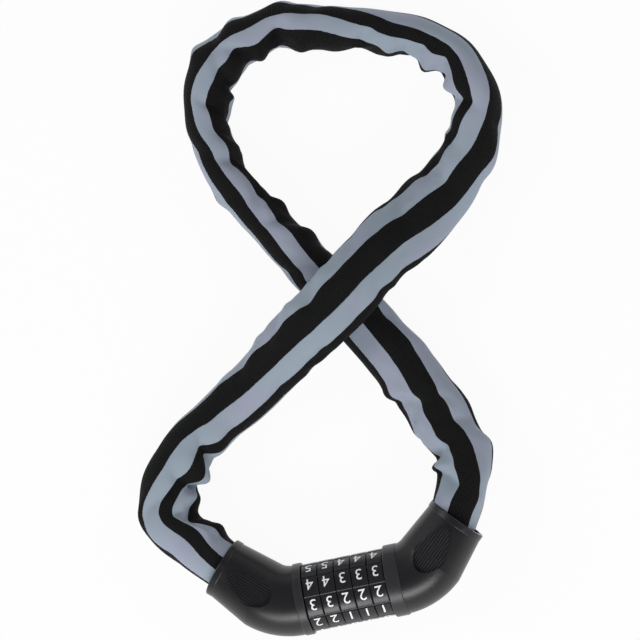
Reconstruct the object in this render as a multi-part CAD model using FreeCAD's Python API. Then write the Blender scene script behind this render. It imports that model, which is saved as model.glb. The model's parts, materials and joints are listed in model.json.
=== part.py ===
import FreeCAD, Part
import math
import os

Vector = FreeCAD.Vector

# Five-dial chain lock: a square-link chain in a woven sleeve, both ends held in
# the moulded elbows of a combination barrel. Millimetres, Z up, barrel along X.

# ---- dials and barrel ----
dial_count = 5
dial_pitch = 8.4          # one dial and the gap beside it
dial_gap = 0.3            # seen between neighbouring dials
dial_radius = 17.0
digits_per_dial = 10
grip_groove_width = 1.7   # shallow flute between two digits
grip_groove_depth = 0.45
dial_edge = 0.4           # chamfer on each rim

# ---- collars and elbows ----
collar_radius = 18.25
left_collar_width = 4.4
right_collar_width = 6.8
collar_edge = 0.35
spigot_radius = 12.5      # carries the collar
elbow_radius = 17.7
bend_angle = 42.0         # between barrel axis and mouth axis, degrees
bend_radius = 26.0
bend_start = 26.0         # distance of the bend from the barrel's middle
mouth_length = 24.8       # from the bend to the open end
mouth_shift = 1.3         # the tapering part leans towards the inside of the bend
mouth_radius = 15.0
mouth_wall = 1.7
lip_width = 3.6
lip_proud = 0.6
lip_edge = 0.5
pocket_depth = 25.0

# ---- thumb recesses in both faces of each elbow ----
recess_length = 28.0
recess_width = 17.0
recess_depth = 2.4
recess_offset = 7.0       # from the bend's end towards the mouth
ridge_count = 11
ridge_pitch = 1.35
ridge_radius = 0.45

# ---- combination mechanism ----
core_radius = 7.0
core_bore = 4.6
slot_width = 3.6          # the bolt's teeth slide along this slot
core_embed = 6.0          # length of core seated in each elbow
bolt_radius = 4.3
bolt_embed = 10.0         # length of bolt fixed in the right elbow
tooth_height = 8.6        # from the axis to the tip of a tooth
tooth_width = 3.0
tooth_length = 1.6
wheel_radius = 11.0
wheel_running_gap = 0.25  # wheel on core
wheel_end_gap = 0.2       # between neighbouring wheels
wheel_wall = 2.6          # the gate is cut through this wall
chamber_radius = 9.2      # room for a tooth to stand beside the wall
gate_clearance = 0.3
dial_fit = 0.15           # dial ring on code wheel
key_height = 1.2
key_width = 2.6
ball_radius = 1.0
ball_clearance = 0.1
dimple_depth = 0.5
strip_width = 2.4
strip_thickness = 0.3
clip_thickness = 0.8
clip_radius = 9.4
clip_groove_depth = 0.8
clip_opening = 5.0

# ---- chain ----
bar = 6.0                 # side of the square bar
bar_corner = 1.3
link_inner_width = 8.8
link_inner_length = 25.0
link_slack = 1.6          # how much the joints close up from a full stretch
pivot_lever = 3.6         # distance from a joint to the bar that turns in it
link_roll = 45.0
lead_turn = 4.0           # the end links lean a little in the mouths, towards the bend

# ---- anchors ----
anchor_base = 2.4
cheek_thickness = 2.6
cheek_width = 11.0
cheek_clearance = 0.7     # each side of the link
pin_radius = 2.8
pin_play = 0.4
anchor_fit = 0.3

# ---- sleeve ----
sleeve_wall = 1.0
sleeve_mouth_fit = 0.5
sleeve_tuck = 6.0         # length of sleeve held inside each mouth
crossing_gap = 1.4        # the straight links sag a little below the curve
floor_allowance = 0.4     # a sloping run reaches a little lower than its middle

# ---- place of the barrel's middle in the part's frame ----
barrel_x = -14.7
barrel_y = -138.8
barrel_z = collar_radius

# Middle line of the sleeve as it lies, from the left mouth round to the right
# one, chosen by hand: x, y from the barrel's middle, half width, half height.
left_route = [
    (-79.8, 50.0, 14.2, 13.8),
    (-80.0, 72.0, 14.6, 13.0),
    (-65.0, 90.0, 15.0, 12.2),
    (-44.0, 101.5, 15.4, 11.4),
    (-19.0, 115.5, 16.2, 11.2),
    (2.0, 128.0, 17.0, 11.2),
]
crossing_over = (25.0, 143.5, 17.2, 11.2)
upper_route = [
    (47.0, 159.0, 17.4, 11.2),
    (66.5, 173.5, 17.2, 11.2),
    (87.0, 188.4, 15.4, 11.8),
    (104.8, 206.6, 13.4, 13.2),
    (112.4, 229.5, 13.0, 14.0),
    (103.6, 253.6, 13.2, 14.2),
    (83.0, 268.2, 12.4, 14.4),
    (61.0, 275.0, 11.6, 14.4),
    (40.0, 281.5, 11.6, 14.4),
    (18.0, 285.0, 12.2, 14.4),
    (-1.5, 279.5, 12.8, 14.2),
    (-17.5, 266.5, 13.0, 14.0),
    (-24.0, 246.0, 12.6, 14.2),
    (-20.5, 222.0, 12.2, 14.2),
    (-10.5, 202.0, 12.4, 13.8),
    (1.5, 182.5, 13.0, 12.8),
    (12.0, 165.0, 14.4, 11.8),
]
crossing_under = (24.0, 146.0, 15.6, 11.0)
right_route = [
    (37.0, 125.5, 15.8, 11.0),
    (48.5, 104.5, 16.0, 11.2),
    (60.2, 83.0, 15.8, 11.8),
    (69.4, 62.0, 14.6, 13.0),
    (71.8, 48.5, 13.6, 14.2),
]
left_bend_row = 3         # the left bend's span ends here
top_row = 8               # the row at the top of the upper loop
# How far the over strand is lifted at each point before and after the crossing.
lift_before = [1.5, 9.5, 19.5]
lift_after = [19.0, 8.5, 1.0]

x_axis = Vector(1, 0, 0)
up = Vector(0, 0, 1)
origin = Vector(0, 0, 0)


# ---------------------------------------------------------------- helpers
def rod(start, end, radius):
    """A round bar along X."""
    return Part.makeCylinder(radius, end - start, Vector(start, 0, 0), x_axis)


def tube(start, end, outer, inner):
    return rod(start, end, outer).cut(rod(start, end, inner))


def chamfered_rod(start, end, radius, edge):
    """A round bar along X with both rims chamfered."""
    outline = [
        (start, 0),
        (start, radius - edge),
        (start + edge, radius),
        (end - edge, radius),
        (end, radius - edge),
        (end, 0),
    ]
    points = [Vector(x, r, 0) for x, r in outline]
    face = Part.Face(Part.makePolygon(points + points[:1]))
    return face.revolve(origin, x_axis, 360)


def about_x(shape, degrees):
    turned = shape.copy()
    turned.rotate(origin, x_axis, degrees)
    return turned


def mirrored(shape):
    """The same piece on the other side of the barrel's middle."""
    return shape.mirror(origin, x_axis)


def in_frame(shape, at, axis, normal):
    """Moves a piece drawn along X with its flat side to Z onto a given axis."""
    side = normal.cross(axis)
    matrix = FreeCAD.Matrix(
        axis.x, side.x, normal.x, at.x,
        axis.y, side.y, normal.y, at.y,
        axis.z, side.z, normal.z, at.z,
        0, 0, 0, 1)
    moved = shape.copy()
    moved.Placement = FreeCAD.Placement(matrix)
    return moved


def solid_of(shape):
    """The one solid of a fused shape, with merged faces."""
    merged = shape.removeSplitter()
    if len(merged.Solids) == 1:
        return merged.Solids[0]
    return merged


# ---------------------------------------------------------------- elbows
barrel_half = dial_count * dial_pitch / 2
collar_start = barrel_half + dial_gap / 2
angle = math.radians(bend_angle)
mouth_axis = Vector(math.cos(angle), math.sin(angle), 0)
inward = Vector(-math.sin(angle), math.cos(angle), 0)
bend_end = Vector(
    bend_start + bend_radius * math.sin(angle),
    bend_radius * (1 - math.cos(angle)),
    0)
mouth_centre = bend_end + mouth_axis * mouth_length + inward * mouth_shift
lip_radius = mouth_radius + lip_proud
pocket_radius = mouth_radius - mouth_wall
pocket_floor = mouth_centre - mouth_axis * pocket_depth


def circle_wire(centre, axis, radius):
    return Part.Wire(Part.Circle(centre, axis, radius).toShape())


def recess_cut():
    """An oval with a flat floor and ridges that run towards the mouth."""
    middle = bend_end + mouth_axis * recess_offset
    middle = middle + inward * (mouth_shift * recess_offset / mouth_length)
    floor = elbow_radius - recess_depth
    oval = Part.Ellipse(origin, recess_length / 2, recess_width / 2)
    face = Part.Face(Part.Wire(oval.toShape()))
    well = face.extrude(up * elbow_radius)
    ridges = []
    for n in range(ridge_count):
        across = (n - (ridge_count - 1) / 2) * ridge_pitch
        start = Vector(-recess_length / 2, across, 0)
        ridges.append(Part.makeCylinder(ridge_radius, recess_length, start, x_axis))
    well = well.cut(ridges)
    return in_frame(well, middle + up * floor, mouth_axis, up)


def elbow(collar_width):
    """Moulded elbow on the +X side: spigot, bend, tapering mouth with a lip."""
    outer_face = collar_start + collar_width
    straight = rod(collar_start, bend_start, elbow_radius)
    section = Part.Face(circle_wire(Vector(bend_start, 0, 0), x_axis, elbow_radius))
    bend = section.revolve(Vector(bend_start, bend_radius, 0), up, bend_angle)
    taper = Part.makeLoft([
        circle_wire(bend_end, mouth_axis, elbow_radius),
        circle_wire(mouth_centre, mouth_axis, mouth_radius)], True, True)
    lip_start = mouth_centre - mouth_axis * lip_width
    lip = Part.makeCylinder(lip_radius, lip_width, lip_start, mouth_axis)
    rims = [e for e in lip.Edges if e.Closed and len(e.Vertexes) == 1]
    lip = lip.makeFillet(lip_edge, rims)
    body = solid_of(straight.fuse([bend, taper, lip]))
    body = body.cut(tube(collar_start, outer_face, collar_radius, spigot_radius))
    body = body.cut(rod(-collar_radius, collar_start, elbow_radius + 1))
    pocket = Part.makeCylinder(pocket_radius, pocket_depth, pocket_floor, mouth_axis)
    body = body.cut(pocket)
    well = recess_cut()
    body = body.cut([well, well.mirror(origin, up)])
    return solid_of(body)


def collar(width):
    """Trim ring between the dials and the elbow."""
    ring = chamfered_rod(collar_start, collar_start + width, collar_radius, collar_edge)
    return ring.cut(rod(collar_start, collar_start + width, spigot_radius))


# ---------------------------------------------------------------- mechanism
core_start = -(collar_start + core_embed)
core_end = collar_start + core_embed
wheel_bore = core_radius + wheel_running_gap
wheel_length = dial_pitch - wheel_end_gap
ball_at = wheel_bore - ball_clearance - ball_radius
strip_top = ball_at - ball_radius
clip_at = barrel_half     # the retaining ring stands against the last wheel


def dial_middle(n):
    return (n + 0.5) * dial_pitch - barrel_half


def wheel_start(n):
    return dial_middle(n) - wheel_length / 2


def tooth_middle(n):
    """A tooth stands in the chamber, on the far side of the wheel's wall."""
    return wheel_start(n) + (wheel_length - wheel_wall) / 2


def dimple_x(n):
    """The balls press on the wall, beyond the chamber."""
    return wheel_start(n) + wheel_length - wheel_wall / 2


def core():
    """Slotted tube that carries the wheels, with a ball hole under each."""
    body = tube(core_start, core_end, core_radius, core_bore)
    slot = Part.makeBox(
        core_end + barrel_half, slot_width, core_radius,
        Vector(-barrel_half, -slot_width / 2, 0))
    cuts = [slot]
    for n in range(dial_count):
        hole_top = Vector(dimple_x(n), 0, -core_radius)
        cuts.append(Part.makeCylinder(
            ball_radius + ball_clearance, core_radius - core_bore, hole_top, up))
    cuts.append(Part.makeBox(
        2 * barrel_half, strip_width + dial_gap, strip_top,
        Vector(-barrel_half, -(strip_width + dial_gap) / 2, -strip_top)))
    groove = tube(
        clip_at, clip_at + clip_thickness + wheel_end_gap / 2,
        core_radius, core_radius - clip_groove_depth)
    cuts.append(groove)
    return solid_of(body.cut(cuts))


def detent_strip():
    """Spring strip lying in the core's channel, under the balls."""
    return Part.makeBox(
        2 * barrel_half - dial_gap, strip_width, strip_thickness,
        Vector(-barrel_half + dial_gap / 2, -strip_width / 2, -strip_top))


def code_wheel(n):
    """Wheel with a gate in its wall, a chamber beside it and ten dimples."""
    start = wheel_start(n)
    end = start + wheel_length
    body = tube(start, end, wheel_radius, wheel_bore)
    cuts = [tube(start + wheel_end_gap, end - wheel_wall, chamber_radius, wheel_bore)]
    gate_width = tooth_width + 2 * gate_clearance
    cuts.append(Part.makeBox(
        wheel_length, gate_width, chamber_radius,
        Vector(start, -gate_width / 2, 0)))
    dimple_radius = ball_radius + ball_clearance
    at_radius = wheel_bore + dimple_depth - dimple_radius
    ball = Part.makeSphere(dimple_radius, Vector(dimple_x(n), 0, -at_radius))
    step = 360 / digits_per_dial
    for k in range(digits_per_dial):
        cuts.append(about_x(ball, k * step))
    body = body.cut(cuts)
    key = Part.makeBox(
        wheel_length, key_width, key_height + wheel_radius / 2,
        Vector(start, -key_width / 2, wheel_radius / 2))
    keys = [about_x(key, 90), about_x(key, 270)]
    hub = rod(start, end, (chamber_radius + wheel_radius) / 2)
    return solid_of(body.fuse([k.cut(hub) for k in keys]))


def dial_ring(n):
    """Outer ring with a shallow flute between each two digits."""
    width = dial_pitch - dial_gap
    start = dial_middle(n) - width / 2
    body = chamfered_rod(start, start + width, dial_radius, dial_edge)
    cuts = [rod(start, start + width, wheel_radius + dial_fit)]
    slot_size = key_width + 2 * dial_fit
    slot_depth = wheel_radius + key_height + dial_fit
    for turn in (90, 270):
        cuts.append(about_x(Part.makeBox(
            width, slot_size, slot_depth,
            Vector(start, -slot_size / 2, 0)), turn))
    # the flute is a round cutter whose chord at the rim is the groove's width
    half = grip_groove_width / 2
    cutter = (half * half + grip_groove_depth ** 2) / (2 * grip_groove_depth)
    flute_at = dial_radius - grip_groove_depth + cutter
    flute = Part.makeCylinder(cutter, width, Vector(start, 0, flute_at), x_axis)
    step = 360 / digits_per_dial
    for k in range(digits_per_dial):
        cuts.append(about_x(flute, k * step))
    return solid_of(body.cut(cuts))


def bolt():
    """Sliding bolt: a rod fixed in the right elbow, with one tooth per dial."""
    body = rod(-barrel_half + dial_gap, core_end + bolt_embed, bolt_radius)
    teeth = []
    for n in range(dial_count):
        teeth.append(Part.makeBox(
            tooth_length, tooth_width, tooth_height,
            Vector(tooth_middle(n) - tooth_length / 2, -tooth_width / 2, 0)))
    return solid_of(body.fuse(teeth))


def core_clip():
    """Open ring that keeps the wheels on the core."""
    ring = tube(clip_at, clip_at + clip_thickness, clip_radius, core_radius - clip_groove_depth)
    return solid_of(ring.cut(Part.makeBox(
        clip_thickness, clip_opening, clip_radius,
        Vector(clip_at, -clip_opening / 2, 0))))


# ---------------------------------------------------------------- chain
def chain_link():
    """A square bar bent to an oval, drawn flat with its length along X."""
    middle = (link_inner_width + bar) / 2
    half_straight = (link_inner_length - link_inner_width) / 2
    far = bar / 2
    near = far - bar_corner
    corners = [
        (far, near), (near, far), (-near, far), (-far, near),
        (-far, -near), (-near, -far), (near, -far), (far, -near)]
    points = [Vector(half_straight, middle + y, z) for y, z in corners]
    section = Part.Face(Part.makePolygon(points + points[:1]))
    side = section.extrude(Vector(-2 * half_straight, 0, 0))
    end = section.revolve(Vector(half_straight, 0, 0), up, -180)
    other_side = side.copy()
    other_side.rotate(origin, up, 180)
    other_end = end.copy()
    other_end.rotate(origin, up, 180)
    return solid_of(side.fuse([end, other_side, other_end]))


def floor_height(half_height):
    """Height of the sleeve's middle, from the barrel's, when it lies on the floor."""
    return half_height + floor_allowance - barrel_z


def rests(row, lift=0):
    x, y, half_width, half_height = row
    return Vector(x, y, floor_height(half_height) + lift)


def mirrored_x(point):
    return Vector(-point.x, point.y, point.z)


pin_at = pocket_floor + mouth_axis * (anchor_base + bar + pin_radius + 2 * pin_play)
first_reach = link_inner_length / 2 - pin_radius - pin_play
link_pitch = link_inner_length - link_slack
right_end = pin_at + mouth_axis * (first_reach - link_pitch / 2)
left_end = mirrored_x(right_end)
straight_lead = link_pitch + link_slack
path_points = 4000        # close enough to measure along
pitch_play = 0.05         # share by which the pitch may be tuned
halvings = 30             # steps of the search for the pitch
lead_angle = math.radians(bend_angle + lead_turn)
lead_axis = Vector(math.cos(lead_angle), math.sin(lead_angle), 0)
right_lead = right_end + lead_axis * straight_lead
left_lead = mirrored_x(right_lead)

full_lift = crossing_over[3] + crossing_under[3] + crossing_gap
rows = left_route + [crossing_over] + upper_route + [crossing_under] + right_route
lifts = [0] * (len(left_route) - len(lift_before)) + lift_before + [full_lift]
lifts = lifts + lift_after
lifts = lifts + [0] * (len(rows) - len(lifts))
route = [rests(row, lift) for row, lift in zip(rows, lifts)]


def sleeve_path():
    """The middle line as many close points, straight in both mouths."""
    left_half = (left_end + left_lead) * 0.5
    right_half = (right_end + right_lead) * 0.5
    curve = Part.BSplineCurve()
    curve.interpolate(
        [left_end, left_half, left_lead] + route + [right_lead, right_half, right_end])
    return curve.discretize(Number=path_points)


def joints_along(path, pitch):
    """Points one pitch apart, in a straight line, from the path's start to its end."""
    found = [path[0]]
    for before, after in zip(path, path[1:]):
        reach = (after - found[-1]).Length
        if reach >= pitch:
            passed = (before - found[-1]).Length
            share = (pitch - passed) / (reach - passed)
            found.append(before + (after - before) * share)
    return found


def chain_joints(path):
    """Joints at the pitch, near the wanted one, that brings the last to the end."""
    found = joints_along(path, link_pitch)
    spare = (path[-1] - found[-1]).Length
    steps = len(found) - 1 + round(spare / link_pitch)
    low = link_pitch * (1 - pitch_play)
    high = link_pitch * (1 + pitch_play)
    for _ in range(halvings):
        pitch = (low + high) / 2
        if len(joints_along(path, pitch)) > steps:
            low = pitch
        else:
            high = pitch
    return joints_along(path, low)[:steps + 1]


def link_places(joints):
    """Where each link lies: its middle, its axis and the normal of its plane."""
    axes = [(b - a).normalize() for a, b in zip(joints, joints[1:])]
    places = []
    for n, axis in enumerate(axes):
        side = up.cross(axis).normalize()
        rise = axis.cross(side)
        sign = 1 if n % 2 == 0 else -1
        roll = math.radians(link_roll) * sign
        normal = rise * math.cos(roll) + side * math.sin(roll)
        middle = (joints[n] + joints[n + 1]) * 0.5
        # the bars of a bent joint stay centred in each other's openings
        turn = (axes[min(n + 1, len(axes) - 1)] - axes[max(n - 1, 0)]) * 0.5
        shift = side * turn.dot(rise) + rise * turn.dot(side)
        middle = middle + shift * (sign * pivot_lever / 2)
        places.append((middle, axis, normal))
    return places


# ---------------------------------------------------------------- anchors
def anchor(normal):
    """Steel fork on the pocket's floor, its cheeks either side of the last link."""
    base = Part.makeCylinder(pocket_radius - anchor_fit, anchor_base, origin, x_axis)
    pin_height = (pin_at - pocket_floor).Length
    inside = bar / 2 + cheek_clearance
    plate = Part.makeBox(
        pin_height, cheek_width, cheek_thickness,
        Vector(0, -cheek_width / 2, inside))
    tip = Part.makeCylinder(
        cheek_width / 2, cheek_thickness, Vector(pin_height, 0, inside), up)
    cheek = solid_of(plate.fuse(tip))
    fork = base.fuse([cheek, cheek.mirror(origin, up)])
    hole = Part.makeCylinder(
        pin_radius, 2 * pocket_radius, Vector(pin_height, 0, -pocket_radius), up)
    fork = solid_of(fork.cut(hole))
    return in_frame(fork, pocket_floor, mouth_axis, normal)


def chain_pin(normal):
    half = bar / 2 + cheek_clearance + cheek_thickness
    pin = Part.makeCylinder(pin_radius, 2 * half, Vector(0, 0, -half), up)
    return in_frame(pin, pin_at, mouth_axis, normal)


# ---------------------------------------------------------------- sleeve
def oval_section(at, axis, half_width, half_height):
    """Closed oval across the path, its width level."""
    side = up.cross(axis).normalize()
    rise = axis.cross(side)
    matrix = FreeCAD.Matrix(
        side.x * half_width, rise.x * half_height, axis.x, at.x,
        side.y * half_width, rise.y * half_height, axis.y, at.y,
        side.z * half_width, rise.z * half_height, axis.z, at.z,
        0, 0, 0, 1)
    unit = Part.Circle(origin, up, 1).toShape()
    return Part.Wire(unit.transformGeometry(matrix).Edges)


def sizes_at(point):
    """Half width and half height of the sleeve beside the nearest route points."""
    near = sorted(
        ((point - place).Length, row[2], row[3])
        for place, row in zip(route, rows))[:2]
    total = near[0][0] + near[1][0]
    share = near[0][0] / total
    width = near[0][1] * (1 - share) + near[1][1] * share
    height = near[0][2] * (1 - share) + near[1][2] * share
    return width, height


def sleeve_run(sections):
    """A woven tube: one straight piece from each section to the next."""
    outer = []
    inner = []
    for at, axis, half_width, half_height in sections:
        outer.append(oval_section(at, axis, half_width, half_height))
        inner.append(oval_section(
            at, axis, half_width - sleeve_wall, half_height - sleeve_wall))
    outside = Part.makeLoft(outer, True, True)
    inside = Part.makeLoft(inner, True, True)
    return solid_of(outside.cut(inside))


def sleeve_sections(joints):
    """Sections in each mouth, beside every joint and at the middle of every link."""
    round_size = pocket_radius - sleeve_mouth_fit
    left_out = mirrored_x(mouth_axis)
    left_mouth = mirrored_x(mouth_centre)
    sections = []
    for distance in (-sleeve_tuck, sleeve_mouth_fit):
        at = left_mouth + left_out * distance
        sections.append((at, left_out, round_size, round_size))
    for before, joint, after in zip(joints, joints[1:], joints[2:]):
        # the cloth rounds each corner of the chain on its inner side
        corner = (before + joint * 6 + after) * (1 / 8)
        axis = ((joint - before).normalize() + (after - joint).normalize()).normalize()
        sections.append((corner, axis) + sizes_at(corner))
        middle = (joint + after) * 0.5
        sections.append((middle, (after - joint).normalize()) + sizes_at(middle))
    sections.pop()
    for distance in (sleeve_mouth_fit, -sleeve_tuck):
        at = mouth_centre + mouth_axis * distance
        sections.append((at, mouth_axis * -1, round_size, round_size))
    return sections


def nearest(places, wanted):
    """Number of the place nearest to a wanted point."""
    return min(range(len(places)), key=lambda k: (places[k] - wanted).Length)


# ---------------------------------------------------------------- assembly
pieces = {}

right_elbow = elbow(right_collar_width)
bolt_bore = rod(core_end, core_end + bolt_embed, bolt_radius)
core_socket = rod(collar_start, core_end, core_radius)
clip_room = rod(collar_start, clip_at + 2 * clip_thickness, clip_radius + dial_gap)
open_socket = rod(collar_start, core_end + dial_gap, core_radius + wheel_running_gap)
pieces["right_housing"] = solid_of(right_elbow.cut([open_socket, bolt_bore, clip_room]))
pieces["left_housing"] = mirrored(solid_of(elbow(left_collar_width).cut(core_socket)))
pieces["right_collar"] = collar(right_collar_width)
pieces["left_collar"] = mirrored(collar(left_collar_width))
for n in range(dial_count):
    pieces["dial_ring_%d" % (n + 1)] = dial_ring(n)
    pieces["code_wheel_%d" % (n + 1)] = code_wheel(n)
pieces["lock_core"] = core()
pieces["locking_bolt"] = bolt()
pieces["core_clip"] = core_clip()
pieces["detent_strip"] = detent_strip()
balls = [
    Part.makeSphere(ball_radius, Vector(dimple_x(n), 0, -ball_at))
    for n in range(dial_count)]
pieces["detent_balls"] = Part.makeCompound(balls)

joints = chain_joints(sleeve_path())
places = link_places(joints)
link = chain_link()
links = [in_frame(link, *place) for place in places]
seam = nearest(joints, rests(crossing_under))
for n, placed in enumerate(links[:seam]):
    pieces["chain_link_%02d" % (n + 1)] = placed
pieces["chain_end_links"] = Part.makeCompound(links[seam:])

left_normal = mirrored_x(places[0][2])
right_normal = places[-1][2]
pieces["right_anchor"] = anchor(right_normal)
pieces["right_chain_pin"] = chain_pin(right_normal)
pieces["left_anchor"] = mirrored(anchor(left_normal))
pieces["left_chain_pin"] = mirrored(chain_pin(left_normal))

# One woven tube, in five spans that meet face to face: after the left bend, at
# the crossing, at the top of the upper loop, and below the crossing, where the
# opening side begins.
sections = sleeve_sections(joints)
section_middles = [section[0] for section in sections]
span_ends = [
    0,
    nearest(section_middles, rests(left_route[left_bend_row])),
    nearest(section_middles, rests(crossing_over, full_lift)),
    nearest(section_middles, rests(upper_route[top_row])),
    nearest(section_middles, joints[seam]),
    len(sections) - 1,
]
span_names = [
    "sleeve_left_bend", "sleeve_left_run",
    "sleeve_loop_right", "sleeve_loop_left", "sleeve_end"]
for name, first, last in zip(span_names, span_ends, span_ends[1:]):
    pieces[name] = sleeve_run(sections[first:last + 1])

os.makedirs("parts", exist_ok=True)
for name, shape in pieces.items():
    placed = shape.copy()
    placed.translate(Vector(barrel_x, barrel_y, barrel_z))
    placed.exportStep(os.path.join("parts", name + ".step"))
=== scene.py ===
# %% [markdown]
# # A combination chain lock
#
# The lock has two halves that call for different ways of working. The barrel
# is moulded plastic, whose shape is already right in the CAD model, so it only
# needs surfaces. The long sleeve is cloth: a woven tube that hugs the chain on
# the outside of each bend and bunches up on the inside. It is built here as a
# mesh of its own, relaxed as cloth, and then striped by its material.
#
# The CAD model comes in as a fixed frame, in metres, and every piece made
# here takes its place from it.

# %% Load the frame
import bmesh
import bpy
import json
import math
import numpy as np
from mathutils import Matrix, Vector
from mathutils.bvhtree import BVHTree


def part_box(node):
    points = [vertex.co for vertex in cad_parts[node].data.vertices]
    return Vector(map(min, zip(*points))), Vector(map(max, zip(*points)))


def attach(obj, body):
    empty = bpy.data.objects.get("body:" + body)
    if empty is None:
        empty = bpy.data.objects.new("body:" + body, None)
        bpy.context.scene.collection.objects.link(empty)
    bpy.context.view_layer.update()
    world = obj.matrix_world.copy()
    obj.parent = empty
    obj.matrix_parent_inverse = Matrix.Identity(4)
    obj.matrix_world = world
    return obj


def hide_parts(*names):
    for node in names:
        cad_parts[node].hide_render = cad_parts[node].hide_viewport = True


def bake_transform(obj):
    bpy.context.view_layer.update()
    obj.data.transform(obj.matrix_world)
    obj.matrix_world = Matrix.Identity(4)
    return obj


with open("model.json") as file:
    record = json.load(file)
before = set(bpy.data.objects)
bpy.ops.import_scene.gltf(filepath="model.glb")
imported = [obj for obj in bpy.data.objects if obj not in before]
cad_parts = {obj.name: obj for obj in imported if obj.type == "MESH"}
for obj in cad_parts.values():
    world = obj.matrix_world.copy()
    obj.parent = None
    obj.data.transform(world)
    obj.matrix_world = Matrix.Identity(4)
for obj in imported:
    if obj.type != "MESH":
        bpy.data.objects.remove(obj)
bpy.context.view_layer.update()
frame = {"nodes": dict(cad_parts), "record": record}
nodes = frame["nodes"]
mm = 0.001


def middle_of(node):
    low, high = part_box(node)
    return (low + high) / 2


barrel = middle_of("dial_ring_3")
print("barrel middle:", [round(v / mm, 1) for v in barrel])

# %% [markdown]
# ## Camera
#
# The lock is seen from almost straight above, from about two metres with a
# long lens, turned so that the barrel slopes a little across the picture. A
# look-at point and a chosen width of view give the lens; an up direction gives
# the turn. Building the three camera axes by hand avoids a tracking
# constraint, which would hide how the camera is placed.

# %% Camera
view_distance = 2.0
view_lean = 0.14
view_turn = math.radians(11.695)
view_width = 0.3229

look_at = Vector((barrel.x + 0.01215, barrel.y + 0.13595, 0.012))
eye = barrel + Vector((view_lean, 0, 1)) * view_distance
ahead = (look_at - eye).normalized()
right = ahead.cross(Vector((math.sin(view_turn), math.cos(view_turn), 0))).normalized()
above = right.cross(ahead)

lens = bpy.data.cameras.new("camera")
camera = bpy.data.objects.new("camera", lens)
bpy.context.scene.collection.objects.link(camera)
axes = Matrix((right, above, -ahead)).transposed()
camera.matrix_world = Matrix.Translation(eye) @ axes.to_4x4()
lens.lens = lens.sensor_width * (look_at - eye).length / view_width
lens.clip_start = 0.1
lens.clip_end = 20
bpy.context.scene.camera = camera
print("lens:", round(lens.lens, 1), "mm")

# %% [markdown]
# ## Floor and light
#
# The lock lies on a white studio floor. Pushing more light at the floor would
# wash out the pale bands, so the floor's own material is made brighter where
# the camera or a glossy surface looks at it, through the Light Path node, and
# it still takes the lock's shadow. A long soft lamp stands in front, where it
# draws a highlight along the elbows. One on the left and a weaker one on the
# right shape the folds, and a pale room all round lights the cloth evenly.

# %% Floor
def new_material(name):
    material = bpy.data.materials.new(name)
    material.use_nodes = True
    material.node_tree.nodes.clear()
    return material, Tree(material.node_tree)


class Tree:
    """Short ways to add and link shader nodes."""

    def __init__(self, tree):
        self.tree = tree

    def add(self, kind, inputs=None, **settings):
        node = self.tree.nodes.new(kind)
        for key, value in settings.items():
            setattr(node, key, value)
        for key, value in (inputs or {}).items():
            self.feed(node, key, value)
        return node

    def feed(self, node, key, value):
        socket = node.inputs[key]
        if isinstance(value, bpy.types.NodeSocket):
            self.tree.links.new(value, socket)
        else:
            socket.default_value = value

    def math(self, operation, *values):
        node = self.add("ShaderNodeMath", operation=operation)
        for index, value in enumerate(values):
            self.feed(node, index, value)
        return node.outputs[0]

    def ramp(self, value, low, high, bottom=0.0, top=1.0):
        """A smooth step from bottom to top as value goes from low to high."""
        node = self.add("ShaderNodeMapRange", interpolation_type="SMOOTHSTEP")
        self.feed(node, "Value", value)
        self.feed(node, "From Min", low)
        self.feed(node, "From Max", high)
        self.feed(node, "To Min", bottom)
        self.feed(node, "To Max", top)
        return node.outputs["Result"]

    def noise(self, vector, scale, detail=3.0, roughness=0.5):
        inputs = {"Vector": vector, "Scale": scale, "Detail": detail, "Roughness": roughness}
        return self.add("ShaderNodeTexNoise", inputs).outputs["Fac"]

    def blend_colour(self, share, first, second):
        node = self.add("ShaderNodeMix", data_type="RGBA")
        self.feed(node, 0, share)
        self.feed(node, 6, first)
        self.feed(node, 7, second)
        return node.outputs[2]

    def bump(self, height, distance):
        inputs = {"Height": height, "Distance": distance, "Strength": 1.0}
        return self.add("ShaderNodeBump", inputs).outputs[0]

    def finish(self, shader):
        output = self.add("ShaderNodeOutputMaterial")
        self.tree.links.new(shader, output.inputs["Surface"])


def floor_material():
    material, tree = new_material("studio_floor")
    paths = tree.add("ShaderNodeLightPath").outputs
    seen = tree.math("MAXIMUM", paths["Is Camera Ray"], paths["Is Glossy Ray"])
    seen = tree.math("MAXIMUM", seen, paths["Is Transmission Ray"])
    share = tree.math("MULTIPLY", seen, floor_brightening)
    matt = tree.add("ShaderNodeBsdfDiffuse", {"Color": (0.86, 0.86, 0.86, 1)})
    white = tree.add("ShaderNodeEmission", {"Color": (1, 1, 1, 1), "Strength": 1.0})
    mixed = tree.add("ShaderNodeMixShader")
    tree.feed(mixed, 0, share)
    tree.feed(mixed, 1, matt.outputs[0])
    tree.feed(mixed, 2, white.outputs[0])
    tree.finish(mixed.outputs[0])
    return material


def add_mesh(name, points, faces):
    mesh = bpy.data.meshes.new(name)
    mesh.from_pydata([tuple(p) for p in points], [], faces)
    mesh.update()
    piece = bpy.data.objects.new(name, mesh)
    bpy.context.scene.collection.objects.link(piece)
    return piece


def square(name, half):
    """A flat square on the ground, round the origin."""
    corners = [(-half, -half, 0), (half, -half, 0), (half, half, 0), (-half, half, 0)]
    return add_mesh(name, corners, [(0, 1, 2, 3)])


floor_brightening = 0.94
floor = square("floor", 3.0)
floor.data.materials.append(floor_material())

# %% World and lamps
world = bpy.data.worlds.new("studio")
bpy.context.scene.world = world
world.use_nodes = True
world.node_tree.nodes.clear()
sky = Tree(world.node_tree)
direction = sky.add("ShaderNodeTexCoord").outputs["Generated"]
height = sky.add("ShaderNodeSeparateXYZ", {"Vector": direction}).outputs["Z"]
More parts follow.
